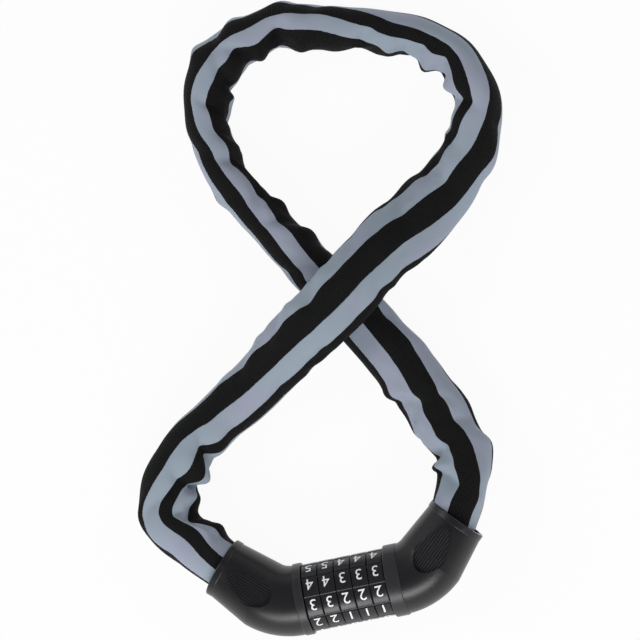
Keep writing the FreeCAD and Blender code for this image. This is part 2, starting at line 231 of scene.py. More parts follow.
# The room glows most near the horizon and less overhead.
glow = sky.ramp(height, 0.02, 0.7, 0.75, 0.2)
room = sky.add("ShaderNodeBackground", {"Color": (1, 1, 1, 1)})
sky.feed(room, "Strength", glow)
room_out = sky.add("ShaderNodeOutputWorld")
world.node_tree.links.new(room.outputs[0], room_out.inputs["Surface"])


def soft_lamp(name, place, target, width, length, power):
    light = bpy.data.lights.new(name, "AREA")
    light.shape = "RECTANGLE"
    light.size = width
    light.size_y = length
    light.energy = power
    lamp = bpy.data.objects.new(name, light)
    bpy.context.scene.collection.objects.link(lamp)
    lamp.location = place
    lamp.rotation_euler = (Vector(target) - Vector(place)).to_track_quat("-Z", "Y").to_euler()


soft_lamp("front_lamp", barrel + Vector((-0.1, -1.25, 0.85)), barrel, 1.6, 0.45, 18)
soft_lamp("left_lamp", Vector((-1.5, 0.5, 1.2)), (0, 0, 0), 0.8, 0.8, 15)
soft_lamp("right_lamp", Vector((1.5, 0.6, 1.2)), (0, 0, 0), 0.8, 0.8, 7)
print("stage set")

# %% [markdown]
# ## The line of the sleeve
#
# The sleeve has no shape of its own: it goes where the chain goes. So its
# middle line is read from the links. The middle of each link is on the line,
# and between two links the line goes a little out towards the corner that
# their joint makes. The last links are one CAD node, so their middles come
# from its loose parts. A smooth curve through these places is then cut into
# short, equal steps, each a ring of the tube.

# %% Places of the links
def loose_groups(node):
    """The points of each separate solid of one node."""
    mesh = bmesh.new()
    mesh.from_mesh(nodes[node].data)
    bmesh.ops.remove_doubles(mesh, verts=mesh.verts, dist=1e-6)
    left = set(mesh.verts)
    groups = []
    while left:
        group = [left.pop()]
        for vert in group:
            for edge in vert.link_edges:
                other = edge.other_vert(vert)
                if other in left:
                    left.remove(other)
                    group.append(other)
        groups.append([v.co.copy() for v in group])
    mesh.free()
    return groups


def middle_of_points(group):
    xs, ys, zs = zip(*group)
    return Vector((min(xs) + max(xs), min(ys) + max(ys), min(zs) + max(zs))) / 2


single_links = sorted(n for n in nodes if n.startswith("chain_link_"))
link_middles = [middle_of(n) for n in single_links]
end_links = [middle_of_points(group) for group in loose_groups("chain_end_links")]
while end_links:
    nearest = min(end_links, key=lambda p: (p - link_middles[-1]).length)
    end_links.remove(nearest)
    link_middles.append(nearest)
link_count = len(link_middles)
print("links:", link_count)

# %% Middle line, in rings
left_pin = middle_of("left_chain_pin")
right_pin = middle_of("right_chain_pin")
tuck = 7 * mm
ring_step = 3 * mm
corner_pull = 0.1

stations = [(0.0, left_pin)]
for k in range(link_count):
    stations.append((k + 0.5, link_middles[k]))
    if 0 < k < link_count - 2:
        before, here, after, beyond = (link_middles[k + n] for n in (-1, 0, 1, 2))
        halfway = (here + after) / 2
        stations.append((k + 1.0, halfway + (here + after - before - beyond) * corner_pull))
stations.append((float(link_count), right_pin))


def curve_place(a, b, c, d, s):
    """The place at share s from b to c on the Catmull-Rom curve through four places."""
    bent = (2 * a - 5 * b + 4 * c - d) * s * s + (3 * b - a - 3 * c + d) * s ** 3
    return 0.5 * (2 * b + (c - a) * s + bent)


def smooth_line(stations, step):
    """A curve through the stations, as evenly spaced points and their link numbers."""
    places = np.array([list(p) for _, p in stations])
    numbers = np.array([t for t, _ in stations])
    ends = (2 * places[0] - places[1], 2 * places[-1] - places[-2])
    places = np.vstack([ends[0], places, ends[1]])
    fine, fine_numbers = [], []
    for i in range(1, len(places) - 2):
        for s in np.linspace(0, 1, 24, endpoint=False):
            fine.append(curve_place(*places[i - 1:i + 3], s))
            fine_numbers.append(numbers[i - 1] + (numbers[i] - numbers[i - 1]) * s)
    fine, fine_numbers = np.array(fine), np.array(fine_numbers)
    run = np.concatenate([[0], np.cumsum(np.linalg.norm(np.diff(fine, axis=0), axis=1))])
    count = int(run[-1] / step)
    wanted = np.linspace(0, run[-1], count + 1)
    line = np.column_stack([np.interp(wanted, run, fine[:, k]) for k in range(3)])
    return line, np.interp(wanted, run, fine_numbers), run[-1]


line, link_number, line_length = smooth_line(stations, ring_step)
print("line:", round(line_length / mm), "mm,", len(line), "rings")

# %% [markdown]
# ## The woven sleeve
#
# Laid flat, the sleeve is a band of webbing 82 mm round, closed into a tube.
# Where the chain runs straight it lies flat and wide; where the chain bends it
# is drawn narrow and tall. One ring of points is made for each step of the
# line, each a rounded oval. Its half width and its place beside the chain were
# worked out from the strand's edges, measured in the photograph link by link,
# and the black band's place from the tapes' edges; all were then adjusted. The
# height follows from the girth within limits: where the strand is widest, the
# ring is up to about 7 mm longer round than the webbing, and where it is
# narrowest, up to about 4 mm shorter.

# %% Rings of the sleeve
girth = 82 * mm
around = 40
off_the_floor = 0.4 * mm
# The link numbers below are for a chain of 33 links. Another count stretches
# them.
share = link_count / 33

# How the cloth lies: link number, half width, how far it lies to the left of the
# chain, and how far the wide black band lies to the left of the top. Lengths are
# in millimetres.
lie_of_cloth = [
    (0.5, 12.2, 0.0, 20.0), (1.5, 13.2, 1.0, 19.4), (2.2, 14.2, 3.0, 22.5),
    (2.6, 14.8, 2.6, 18.0), (3.0, 14.6, 0.6, 9.5), (3.5, 14.2, -1.8, 12.0),
    (4.5, 12.8, -1.8, 6.8), (5.5, 14.2, -1.3, 6.2), (6.5, 15.4, -0.4, 4.4),
    (7.5, 17.0, -0.8, 3.6), (8.5, 17.6, -0.8, 2.5), (9.5, 17.4, -1.3, 2.0),
    (10.5, 18.4, -1.0, 0.5), (11.5, 17.4, -0.8, -4.1), (12.5, 14.2, -1.8, -6.2),
    (13.5, 12.4, -2.4, -10.2), (14.5, 11.2, -1.8, -18.0), (15.5, 10.6, -1.4, -19.6),
    (16.5, 10.2, -0.6, -20.2), (17.5, 10.4, -0.6, -28.6), (18.5, 10.8, -1.2, -30.6),
    (19.5, 10.8, -1.8, -27.8), (20.5, 12.2, -3.0, -28.3), (21.5, 11.0, -1.2, -31.5),
    (22.5, 10.2, -0.6, -24.4), (23.5, 10.2, -1.2, -24.2), (24.5, 10.6, -0.7, -26.6),
    (25.5, 12.0, -0.8, -29.6), (26.5, 13.6, 0.2, -32.6), (27.5, 15.0, 0.4, -35.5),
    (28.5, 15.4, -0.2, -35.6), (29.5, 15.6, -0.6, -40.6), (30.5, 14.6, -0.8, -41.6),
    (31.5, 12.8, -1.6, -37.0), (32.5, 12.2, 0.0, -36.6),
]


def lie(column, numbers):
    """One column of the table in metres, eased between its rows."""
    xs = np.array([row[0] * share for row in lie_of_cloth])
    ys = np.array([row[column] * mm for row in lie_of_cloth])
    rough = np.interp(numbers, xs, ys)
    reach = 4
    padded = np.concatenate([np.full(reach, rough[0]), rough, np.full(reach, rough[-1])])
    weights = np.hanning(2 * reach + 3)[1:-1]
    return np.convolve(padded, weights / weights.sum(), mode="valid")


def oval(half_width, half_height, count):
    """Points of a rounded oval, evenly spaced from its top, as (side, rise)."""
    fullness = float(np.interp(half_width / mm, [11, 17], [2.3, 1.8]))
    angles = np.linspace(0, 2 * math.pi, 721)
    side = np.sign(np.sin(angles)) * np.abs(np.sin(angles)) ** (2 / fullness) * half_width
    rise = np.sign(np.cos(angles)) * np.abs(np.cos(angles)) ** (2 / fullness) * half_height
    run = np.concatenate([[0], np.cumsum(np.hypot(np.diff(side), np.diff(rise)))])
    wanted = np.arange(count) / count * run[-1]
    return np.column_stack([np.interp(wanted, run, side), np.interp(wanted, run, rise)]), run[-1]


def height_for(half_width, low, high):
    """The half height that gives the oval its girth, within limits."""
    for _ in range(18):
        guess = (low + high) / 2
        if oval(half_width, guess, 8)[1] > girth:
            high = guess
        else:
            low = guess
    return (low + high) / 2


start_ring = int(math.ceil(tuck / ring_step))
end_ring = len(line) - 1 - start_ring
line = line[start_ring:end_ring + 1]
link_number = link_number[start_ring:end_ring + 1]
ring_count = len(line)
ahead_of = np.gradient(line, axis=0)
ahead_of /= np.linalg.norm(ahead_of, axis=1)[:, None]
left_of = np.cross([0, 0, 1], ahead_of)
left_of /= np.linalg.norm(left_of, axis=1)[:, None]
up_of = np.cross(ahead_of, left_of)

half_width = lie(1, link_number)
chain_line = line.copy()
line = line + left_of * lie(2, link_number)[:, None]
twist = lie(3, link_number)
lowest, highest = 9.9 * mm, 14.0 * mm
heights = [height_for(width, lowest, highest) for width in half_width]
ovals = np.array([oval(width, rise, around)[0] for width, rise in zip(half_width, heights)])


def ring_points(ovals):
    """The rings set on the line, kept above the floor."""
    points = line[:, None, :] + left_of[:, None, :] * ovals[:, :, :1] + up_of[:, None, :] * ovals[:, :, 1:]
    points[:, :, 2] = np.maximum(points[:, :, 2], off_the_floor)
    return points


sleeve_points = ring_points(ovals)
print("rings:", ring_count, "heights:", round(float(np.ptp(sleeve_points[:, :, 2])) / mm, 1), "mm")

# %% [markdown]
# ## Slack and folds
#
# Real webbing hardly stretches. Bent with the chain, it is tight over the
# outside of the bend, so the inside has far more cloth than room and buckles
# into soft lobes between the joints. Cloth simulation gives such folds if it is
# told how long the cloth really is: a second shape of the mesh, straight and
# longer, holds the lengths that the springs want. The chain inside and the
# floor under it are what it presses on. The ends stay pinned in the elbows. A
# few starting lobes tell the folds where to grow. Of the settled cloth only the
# wrinkles are kept, and not the general drift, since the table above says how
# wide the sleeve is and how it lies. So the folds that are drawn take up only a
# little of the extra length.

# %% Slack along the line
flat_turn = np.gradient(np.unwrap(np.arctan2(ahead_of[:, 1], ahead_of[:, 0])), ring_step)
soften = np.hanning(13)[1:-1]
turning = np.convolve(np.pad(flat_turn, 5, mode="edge"), soften / soften.sum(), mode="valid")
slack = 1.03 + 0.85 * np.abs(turning) * half_width
cloth_run = np.concatenate([[0], np.cumsum(ring_step * (slack[1:] + slack[:-1]) / 2)])
chain_run = (ring_count - 1) * ring_step
print("cloth:", round(cloth_run[-1] / mm), "mm long over", round(chain_run / mm), "mm of chain")


def starting_lobes(ovals):
    """Pushes the inner side of each bend out between joints and in at them."""
    shaped = ovals.copy()
    lobe = -np.cos(2 * math.pi * link_number)
    inner = np.sign(turning)
    size = np.clip(np.abs(turning) / 22, 0, 1) * 0.7 * mm
    for k in range(ring_count):
        side = ovals[k, :, 0] / half_width[k] * inner[k]
        weight = np.clip(0.3 + side, 0, 1.3) / 1.3
        shaped[k, :, 0] += inner[k] * size[k] * lobe[k] * weight
    return shaped


sleeve_points = ring_points(starting_lobes(ovals))


# %% A tube of quads from rings of points
def tube_faces(rings, count):
    faces = []
    for i in range(rings - 1):
        for j in range(count):
            other = (j + 1) % count
            faces.append((i * count + j, (i + 1) * count + j, (i + 1) * count + other, i * count + other))
    return faces


def tube_mesh(name, points):
    rings, count = points.shape[:2]
    return add_mesh(name, points.reshape(-1, 3), tube_faces(rings, count))


# %% What the cloth presses on
def chain_hull(name):
    """A closed shell round each link, joined into one object."""
    hulls = bmesh.new()
    sources = single_links + ["chain_end_links"]
    for source in sources:
        for group in loose_groups(source):
            fresh = [hulls.verts.new(p) for p in group]
            made = bmesh.ops.convex_hull(hulls, input=fresh)
            unused = [g for g in made["geom_interior"] if isinstance(g, bmesh.types.BMVert)]
            bmesh.ops.delete(hulls, geom=unused, context="VERTS")
    mesh = bpy.data.meshes.new(name)
    hulls.to_mesh(mesh)
    hulls.free()
    piece = bpy.data.objects.new(name, mesh)
    bpy.context.scene.collection.objects.link(piece)
    return piece


def press_on(piece, gap):
    piece.modifiers.new("press", "COLLISION")
    piece.collision.thickness_outer = gap
    piece.collision.thickness_inner = 2 * mm
    piece.collision.cloth_friction = 8
    piece.collision.damping = 0.6


# %% Let the cloth settle
lightly_held = 0.06
drift_removed = 0.85


def relax(points, frames, reach):
    """Lets the tube settle as cloth, and returns its points, none moved further than reach."""
    rings, count = points.shape[:2]
    cloth = tube_mesh("cloth_at_work", points)
    cloth.shape_key_add(name="laid")
    cut = cloth.shape_key_add(name="cut")
    straight = np.zeros((rings, count, 3))
    straight[:, :, 0] = cloth_run[:, None]
    straight[:, :, 1:] = ovals
    cut.data.foreach_set("co", straight.reshape(-1))
    held = cloth.vertex_groups.new(name="held")
    edge = 3
    for i in range(rings):
        fixed = i < edge or i >= rings - edge or abs(i - seam_ring) < 2
        weight = 1.0 if fixed else lightly_held
        held.add(list(range(i * count, (i + 1) * count)), weight, "REPLACE")
    settle = cloth.modifiers.new("settle", "CLOTH")
    settings = settle.settings
    settings.quality = 10
    settings.mass = 0.15
    settings.air_damping = 4
    settings.tension_stiffness = 30
    settings.compression_stiffness = 30
    settings.shear_stiffness = 4
    settings.bending_stiffness = 1.2
    settings.tension_damping = 15
    settings.compression_damping = 15
    settings.shear_damping = 5
    settings.bending_damping = 2
    settings.vertex_group_mass = "held"
    settings.pin_stiffness = 1
    settings.rest_shape_key = cut
    settings.effector_weights.gravity = 0.3
    settle.collision_settings.collision_quality = 3
    settle.collision_settings.distance_min = 0.6 * mm
    settle.collision_settings.use_self_collision = False
    settle.point_cache.frame_start = 1
    settle.point_cache.frame_end = frames
    steel = chain_hull("chain_press")
    press_on(steel, 0.7 * mm)
    ground = square("ground_press", 1.0)
    press_on(ground, 0.5 * mm)
    scene = bpy.context.scene
    for step in range(1, frames + 1):
        scene.frame_set(step)
    settled = cloth.evaluated_get(bpy.context.evaluated_depsgraph_get())
    moved = np.empty(rings * count * 3)
    settled.data.vertices.foreach_get("co", moved)
    moved = moved.reshape(rings, count, 3)
    for piece in (steel, ground, cloth):
        bpy.data.objects.remove(piece)
    scene.frame_set(1)
    shift = moved - points
    window = np.hanning(15)[1:-1]
    padded = np.pad(shift, ((6, 6), (0, 0), (0, 0)), mode="edge")
    general = sum(w * padded[k:k + rings] for k, w in enumerate(window)) / window.sum()
    inner_side = ovals[:, :, 0] / half_width[:, None] * np.sign(turning)[:, None]
    wrinkle = (shift - general * drift_removed) * np.clip(0.4 + 0.6 * inner_side, 0.15, 1)[:, :, None]
    far = np.linalg.norm(wrinkle, axis=2, keepdims=True)
    print("wrinkles:", round(float(far.mean()) / mm, 2), "mm on average")
    print("deepest wrinkle:", round(float(far.max()) / mm, 1), "mm")
    return points + wrinkle * np.minimum(1, reach / np.maximum(far, 1e-9))


seam_ring = int(np.argmin(np.abs(link_number - len(single_links))))
sleeve_points = relax(sleeve_points, 24, 3 * mm)


# %% Finer rings, and their place in the pattern
def halve(points, closed):
    """Puts a point between each two, on a smooth curve through them."""
    if closed:
        first, last = np.roll(points, 1, 0), np.roll(points, -2, 0)
        following = np.roll(points, -1, 0)
        between = (9 * (points + following) - first - last) / 16
        return np.stack([points, between], 1).reshape(-1, *points.shape[1:])
    padded = np.concatenate([2 * points[:1] - points[1:2], points, 2 * points[-1:] - points[-2:-1]])
    between = (9 * (padded[1:-2] + padded[2:-1]) - padded[:-3] - padded[3:]) / 16
    mixed = np.stack([points[:-1], between], 1).reshape(-1, *points.shape[1:])
    return np.concatenate([mixed, points[-1:]])


fine_points = halve(sleeve_points, False)
fine_points = np.swapaxes(halve(np.swapaxes(fine_points, 0, 1), True), 0, 1)
fine_line = halve(line, False)
fine_chain_line = halve(chain_line, False)
fine_left = halve(left_of, False)
fine_up = halve(up_of, False)
fine_number = halve(link_number, False)
fine_width = halve(half_width, False)
fine_turning = halve(turning, False)
fine_twist = halve(twist, False)
fine_run = halve(cloth_run, False)
pattern = girth / 2
webbing_thickness = 0.6 * mm
print("sleeve:", fine_points.shape[0], "rings of", fine_points.shape[1])

# %% [markdown]
# ## Folds placed one by one
#
# The cloth step gives soft wrinkles. The deep folds of handled webbing are laid
# over them, as a sculptor would: each is a place on the tube, a push out for a
# lobe or in for a crease, and its reach along and round the tube. Most follow
# the lobes and notches that the photograph shows, and the rest are guessed.
# A crease is sharp at its bottom and runs aslant, a lobe is round. Between
# them every joint of the chain gets its own smaller pleat on the inside of the
# bend.

# %% Folds and pleats
# link number, side (left +), push outwards, half length, half spread, slant; lengths in millimetres
folds = [
    # the left bend, from the mouth
    (1.2, -14, 4.4, 5, 10, 0.3), (1.9, -8, -4.5, 3, 12, 0.5), (1.6, -7, -3.4, 8, 3.5, 0),
    (2.2, 16, 2.2, 8, 9, 0.2), (1.55, -7, 2.2, 4, 6, -0.4), (2.5, -13, 2.8, 4, 9, 0.2),
    (2.8, -8, -5.0, 3, 12, -0.6), (3.35, -15, 4.2, 5, 10, 0.2), (3.05, -5, -3.2, 3, 9, 0.8),
    (3.95, -9, -4.8, 3, 12, 0.7), (2.45, 6, -2.8, 3, 9, -0.9), (2.65, 9, 1.8, 4, 7, -0.9),
    (1.6, 7, -1.6, 4, 9, -0.6),
    # along the strand that crosses over
    (4.4, -12, 1.2, 5, 9, 0.5), (5.4, 13, 0.8, 5, 8, 0.5), (6.1, 12, -1.4, 4, 9, 0.8),
    (6.7, 14, 1.0, 5, 8, 0.6), (7.2, 12, -2.0, 4, 10, 0.9), (7.7, 16, 1.2, 5, 8, 0.6),
    (8.2, 12, -2.0, 4, 10, 0.8), (8.8, 16, 1.0, 5, 8, 0.5), (9.4, 11, -1.8, 4, 10, 0.9),
    (10.2, -11, -1.8, 5, 9, 0.8), (10.9, 11, -1.6, 5, 10, 0.7), (5.0, -12, 0.8, 7, 8, 0.6),
    (6.4, -11, -1.2, 5, 8, 0.7), (7.6, -13, 0.8, 6, 8, 0.6), (8.8, -11, -1.4, 5, 9, 0.7),
    (11.6, 11, 0.8, 5, 8, 0.5),
    # right side of the upper loop
    (12.4, 9, -2.4, 4, 10, 0.7), (12.9, -14, 1.6, 5, 8, 0.5), (13.1, 13, 2.6, 4, 9, 0.4),
    (13.6, -9, -2.2, 4, 9, 0.6), (14.1, 6, -4.0, 3, 13, 0.5), (14.6, 12, 2.0, 4, 9, 0.2),
    (15.0, 6, -4.5, 3, 13, -0.4), (15.4, 12, 3.4, 4, 9, 0.3), (15.9, 6, -3.8, 3, 12, 0.6),
    # the top
    (16.6, 10, 2.4, 5, 9, 0.4), (17.1, 4, -3.2, 3, 12, 0.6), (17.9, 11, 2.4, 10, 9, 0.2),
    (18.1, -8, -2.0, 4, 9, 0.5), (18.4, 10, 2.4, 5, 9, 0.3), (18.8, -10, 2.4, 4, 9, 0.4),
    (19.05, 5, -4.8, 3, 13, 0.6), (19.6, 10, 3.0, 4, 9, 0.2), (19.75, -12, 2.2, 4, 9, 0.2),
    (19.95, 5, -4.4, 3, 12, -0.5), (20.1, -7, -3.6, 3, 9, 0.5), (20.5, -14, 3.6, 4, 9, 0.3),
    (20.6, 5, -4.6, 3, 13, 0.5),
    # left side, down to the crossing
    (21.05, 13, 4.8, 4, 10, 0.3), (21.5, 5, -4.2, 3, 13, 0.5), (21.9, 11, 2.4, 4, 9, 0.3),
    (22.25, -6, -3.4, 3, 10, 0.5), (22.6, 10, 2.0, 4, 8, 0.3), (22.9, 4, -4.0, 3, 12, 0.6),
    (23.3, -10, 2.0, 4, 9, 0.4), (23.7, 5, -3.0, 3, 11, -0.5), (24.2, 11, 2.8, 4, 9, 0.3),
    (24.6, 4, -3.6, 3, 12, 0.6), (25.1, 12, 3.0, 5, 9, 0.3), (25.5, -6, -2.6, 4, 10, 0.6),
    # the strand into the right elbow
    (27.6, 12, -1.8, 5, 9, 0.8), (28.4, 16, 1.2, 6, 8, 0.5), (28.9, -16, 2.0, 5, 9, 0.5),
    (29.3, -8, -4.2, 3, 11, 0.7), (29.9, -17, 3.0, 8, 10, 0.2), (30.2, 4, -3.0, 4, 12, 0.6),
    (30.3, -17, 1.6, 5, 9, 0.2), (30.75, -7, -5.0, 3, 12, -0.3), (31.15, -16, 3.4, 6, 10, 0.1),
    (30.9, 16, 2.8, 5, 9, 0.4), (31.5, -6, -4.0, 3, 11, 0.5),
]


tuck_inside = 6 * mm
mouth_reach = 9 * mm


def mouth_ease(run):
    """From nothing inside the elbows to full strength a little outside them."""
    near = np.minimum(run - tuck_inside, run[-1] - tuck_inside - run)
    return np.clip(near / mouth_reach, 0, 1) ** 2


def row_at(number):
    """The fine ring nearest to a link number."""
    return int(np.argmin(np.abs(fine_number - number)))


def one_fold(points, row, side, push, half_length, half_spread, slant):
    """The shift that one fold gives to all points."""
    width = fine_width[row]
    lean = math.asin(max(-0.97, min(0.97, side / width)))
    sideways = math.sin(lean) + 0.4 * math.copysign(1, side)
    push_way = fine_left[row] * sideways + fine_up[row] * math.cos(lean)
    push_way /= np.linalg.norm(push_way)
    spokes = points[row] - fine_line[row]
    facing = int(np.argmax(spokes @ push_way / np.linalg.norm(spokes, axis=1)))
    count = points.shape[1]
    gap = ((np.arange(count) - facing + count / 2) % count - count / 2) / count * girth
    along = (np.arange(len(points)) - row) * fine_step
    offset = along[:, None] - slant * gap[None, :]
    if push > 0:
        length = np.exp(-(offset / half_length) ** 2)
    else:
        length = np.exp(-np.abs(offset / half_length) ** 1.25)
    spread = np.exp(-(gap / half_spread) ** 2)
    return (length * spread[None, :])[:, :, None] * push_way * push


def tuck_in(points, row, side, pinch, half_length, half_spread):
    """Draws the cloth of each ring together round one place, as where a fold swallows it."""
    lean = math.asin(max(-0.97, min(0.97, side / fine_width[row])))
    toward = fine_left[row] * math.sin(lean) + fine_up[row] * math.cos(lean)
    spokes = points[row] - fine_line[row]
    facing = int(np.argmax(spokes @ toward / np.linalg.norm(spokes, axis=1)))
    count = points.shape[1]
    gap = (np.arange(count) - facing + count / 2) % count - count / 2
    drawn = points.copy()
    for i in range(len(points)):
        strength = pinch * math.exp(-(((i - row) * fine_step / half_length) ** 2))
        if strength < 0.01:
            continue
        source = facing + gap * (1 - strength * np.exp(-(gap / count * girth / half_spread) ** 2))
        low = np.floor(source).astype(int)
        part = (source - low)[:, None]
        drawn[i] = points[i, low % count] * (1 - part) + points[i, (low + 1) % count] * part
    return drawn


def pleats(points):
    """A small crease at each joint, on the inside of the bend."""
    shift = np.zeros_like(points)
    for joint in range(1, link_count):
        place = joint + 0.2 * math.sin(2.4 * joint)
        row = row_at(place)
        tightness = min(1.0, abs(fine_turning[row]) / 20)
        depth = (0.2 + 2.0 * tightness) * (0.5 + 0.5 * math.sin(1.7 * joint)) * mm
        inner = math.copysign(1.0, fine_turning[row])
        side = inner * fine_width[row] * 0.8
        shift += one_fold(points, row, side, -depth, 2.6 * mm, 11 * mm, 0.5 * math.sin(3.1 * joint))
    return shift


fine_step = ring_step / 2
swallowed = 1.55
fine_points = tuck_in(fine_points, row_at(swallowed * share), -8 * mm, 0.9, 11 * mm, 10 * mm)
fold_shift = pleats(fine_points)
for number, side, push, half_length, half_spread, slant in folds:
    row = row_at(number * share)
    measures = [side * mm, push * mm, half_length * mm, half_spread * mm]
    fold_shift += one_fold(fine_points, row, *measures, slant)
fine_runs = np.arange(len(fine_points)) * fine_step
fold_shift *= mouth_ease(fine_runs)[:, None, None]
fine_points = fine_points + fold_shift
fine_points[:, :, 2] = np.maximum(fine_points[:, :, 2], off_the_floor)
print("folds:", len(folds), "deepest shift", round(float(np.abs(fold_shift).max()) / mm, 1), "mm")


# %% [markdown]
# ## Clear of the chain
#
# A fold may have gone into the steel. So each point of the cloth is first kept
# off the chain's middle line, and is then moved straight outwards until it is
# clear of the shell round each link. The first rounds ease the cloth round
# what they move, so that no spike is left, and the last ones only clear.

# %% Ways out of the chain
def outward_ways(points):
    """For each point, the way straight out from the chain's middle line, and how far out it is."""
    spokes = points - fine_chain_line[:, None, :]
    forward = np.gradient(fine_chain_line, axis=0)
    forward /= np.linalg.norm(forward, axis=1)[:, None]
    ways = spokes - (spokes @ forward[:, :, None]) * forward[:, None, :]
    reach = np.linalg.norm(ways, axis=2, keepdims=True)
    return ways / np.maximum(reach, 1e-9), reach


def move_clear(points, gap):
    """Moves points that are inside a link's shell, or nearer to it than gap, straight outwards."""
    ways = outward_ways(points)[0].reshape(-1, 3)
    flat = points.reshape(-1, 3).copy()
    moved = 0
    for shell in link_shells:
        near = np.nonzero(np.linalg.norm(flat - np.array(shell["middle"]), axis=1) < shell["reach"] + gap)[0]
        for index in near:
            here = Vector(flat[index])
            place, normal, _, distance = shell["tree"].find_nearest(here)
            if (here - place).dot(normal) < 0:
                distance = -distance
            if distance < gap:
                flat[index] += ways[index] * (gap - distance)
                moved += 1
    return flat.reshape(points.shape), moved


def shells_of_links():
    """The closed shell round each link, to measure from."""
    shells = []
    for source in single_links + ["chain_end_links"]:
        for group in loose_groups(source):
            shape = bmesh.new()
            bmesh.ops.convex_hull(shape, input=[shape.verts.new(p) for p in group])
            shape.normal_update()
            middle = middle_of_points(group)
            reach = max((p - middle).length for p in group)
            shells.append({"tree": BVHTree.FromBMesh(shape), "middle": middle, "reach": reach})
            shape.free()
    return shells


def keep_round_core(points, core):
    """Keeps each point at least core away from the chain's own middle line, on its own side."""
    ways, reach = outward_ways(points)
    return points + ways * np.maximum(core - reach, 0)


def ease(points, part):
    """Moves each point part of the way to the middle of its four neighbours."""
    across = (np.roll(points, 1, 1) + np.roll(points, -1, 1)) / 2
    along = points.copy()
    along[1:-1] = (points[:-2] + points[2:]) / 2
    return points + ((across + along) / 2 - points) * part


# %% Move the cloth clear
link_shells = shells_of_links()
cloth_gap = webbing_thickness + 0.25 * mm
core = 7.5 * mm
easing = 0.6
fine_points = keep_round_core(fine_points, core)
for softly in (True, True, True, False, False, False):
    cleared, moved = move_clear(fine_points, cloth_gap)
    shift = cleared - fine_points
    if softly:
        spread_out = (np.roll(shift, 1, 1) + np.roll(shift, -1, 1)) / 2
        before = np.concatenate([shift[:1], shift[:-1]])
        after = np.concatenate([shift[1:], shift[-1:]])
        shift = np.where(np.abs(shift) > 0, shift, (spread_out + before + after) / 3 * 0.8)
    fine_points = fine_points + shift
    if softly:
        fine_points = ease(fine_points, easing)
    print("moved clear of the chain:", moved)
fine_points[:, :, 2] = np.maximum(fine_points[:, :, 2], off_the_floor)


# %% [markdown]
# ## Two pieces of sleeve
#
# When the right elbow pulls off, the cloth near it goes along and the rest
# stays. So the sleeve is made in two pieces that meet under the crossing,
# where the other strand hides the join. The long one rides on the lock body.
# The end one, and a copy of the last links inside it, are baked where they lie and ride on no part.

# %% A tube with its weave and its thickness
def dress_tube(name, first, last):
    """One piece of the sleeve, with the place of each point in the weave as its UV map."""
    points = fine_points[first:last + 1]
    piece = tube_mesh(name, points)
    count = points.shape[1]
    layer = piece.data.uv_layers.new(name="weave")
    across = np.arange(count + 1) / count * girth
    place = 0
    for i in range(last - first):
        for j in range(count):
            for k, column in ((i, j), (i + 1, j), (i + 1, j + 1), (i, j + 1)):
                u = (fine_twist[first + k] - across[column]) / pattern
                layer.data[place].uv = (u, fine_run[first + k] / pattern)
                place += 1
    piece.data.shade_smooth()
    wall = piece.modifiers.new("wall", "SOLIDIFY")
    wall.thickness = webbing_thickness
    wall.offset = -1
    thick = bpy.data.meshes.new_from_object(piece.evaluated_get(bpy.context.evaluated_depsgraph_get()))
    piece.modifiers.clear()
    piece.data = thick
    return piece


# %% Sleeve pieces and how they move
cut_at = 2 * seam_ring
sleeve_nodes = sorted(n for n in nodes if n.startswith("sleeve"))
long_sleeve = dress_tube("woven_sleeve", 0, cut_at)
end_sleeve = dress_tube("woven_sleeve_end", cut_at, fine_points.shape[0] - 1)
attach(long_sleeve, "lock_body")
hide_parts(*[n for n in sleeve_nodes if n != "sleeve_end"])
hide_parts("sleeve_end")
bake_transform(end_sleeve)

end_chain_mesh = nodes["chain_end_links"].data.copy()
end_chain = bpy.data.objects.new("end_of_chain", end_chain_mesh)
bpy.context.scene.collection.objects.link(end_chain)
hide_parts("chain_end_links")
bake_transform(end_chain)


# %% How close the chain comes to the cloth
def chain_clearance(names):
    """Least distance from each link to the inner face of the cloth, minus where it presses in."""
    rings, count = fine_points.shape[:2]
    outer_points = [tuple(p) for p in fine_points.reshape(-1, 3)]
    outer_face = BVHTree.FromPolygons(outer_points, tube_faces(rings, count))
    least = {}
    for name in names:
        for vert in nodes[name].data.vertices:
            place, normal, _, distance = outer_face.find_nearest(vert.co)
            if (vert.co - place).dot(normal) > 0:
                distance = -distance
            least[name] = min(distance - webbing_thickness, least.get(name, 1))
    return least


room_left = chain_clearance(single_links[1:] + ["chain_end_links"])
tightest = min(room_left, key=room_left.get)
print("least room inside the cloth:", round(room_left[tightest] / mm, 2), "mm, at", tightest)

# %% [markdown]
# ## The weave
#
# The sleeve is black ribbed webbing with two reflective tapes woven in. All
# of it comes from one number, how far round the tube a point is, and one more,
# how far along. The stripes repeat twice round the tube: a wide black band, a
# tape, a narrow black band, a tape. Ribs run across the black at a little over
# a millimetre. The tape is smooth, with a cool sheen that drifts slightly in
# colour. One shader with mixed inputs keeps it easy to carry elsewhere.
#
# Over the left half of the upper loop the cloth is gathered tightly, and the
# shade in creases too fine to model covers a fifth of each tape's width. There
# the tapes are drawn that much narrower, with black painted over their edges as crease shade.

# %% Webbing material
# In millimetres round the tube, from the middle of a wide black band.
tape_middle = 11.62
tape_half = 5.12
tape_edge = 0.3
rib_pitch = 1.15
thread_pitch = 0.62
# In patterns along the tube.
crease_shade_from, crease_shade_to = np.interp([16.3 * share, 25.2 * share], fine_number, fine_run) / pattern
crease_ease = 0.7
print("tapes creased over", round((crease_shade_to - crease_shade_from) * pattern / mm), "mm of the sleeve")


